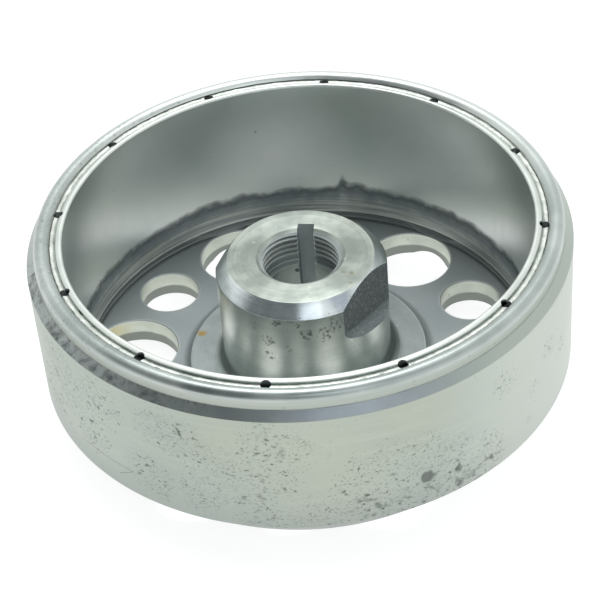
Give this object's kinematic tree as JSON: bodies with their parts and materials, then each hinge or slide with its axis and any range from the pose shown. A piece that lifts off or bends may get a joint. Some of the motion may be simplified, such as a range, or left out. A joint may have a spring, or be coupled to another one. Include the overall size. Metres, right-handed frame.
{
  "type": "magneto flywheel",
  "caption": "Cup-shaped magneto flywheel for a small petrol engine, with a keyed hub, pierced web, hidden ring of magnets and a rolled rim.",
  "frame": {"origin": "on the spin axis, at the level of the back face", "axes": "+Z along the spin axis towards the open side, +Y from the axis through the middle of the keyway"},
  "size_m": [0.13, 0.13, 0.0521],
  "materials": {
    "ground_steel": "ground and lightly spotted with corrosion",
    "forged_steel": "turned, with as-forged dark flats",
    "stainless_sheet": "polished sheet",
    "plated_steel": "bright plated",
    "ferrite": "dull sintered",
    "black_nylon": "moulded",
    "sealant": "smeared and uneven"
  },
  "bodies": {
    "root": {"rotor_cup": "ground_steel", "hub": "forged_steel", "magnet_cover": "stainless_sheet", "retaining_ring": "plated_steel", "magnet_seat_ring": "black_nylon", "sealant_bead": "sealant", "magnet_01": "ferrite", "magnet_spacer_01": "black_nylon", "magnet_02": "ferrite", "magnet_spacer_02": "black_nylon", "magnet_03": "ferrite", "magnet_spacer_03": "black_nylon", "magnet_04": "ferrite", "magnet_spacer_04": "black_nylon", "magnet_05": "ferrite", "magnet_spacer_05": "black_nylon", "magnet_06": "ferrite", "magnet_spacer_06": "black_nylon", "magnet_07": "ferrite", "magnet_spacer_07": "black_nylon", "magnet_08": "ferrite", "magnet_spacer_08": "black_nylon", "magnet_09": "ferrite", "magnet_spacer_09": "black_nylon", "magnet_10": "ferrite", "magnet_spacer_10": "black_nylon", "magnet_11": "ferrite", "magnet_spacer_11": "black_nylon", "magnet_12": "ferrite", "magnet_spacer_12": "black_nylon"}
  },
  "joints": []
}
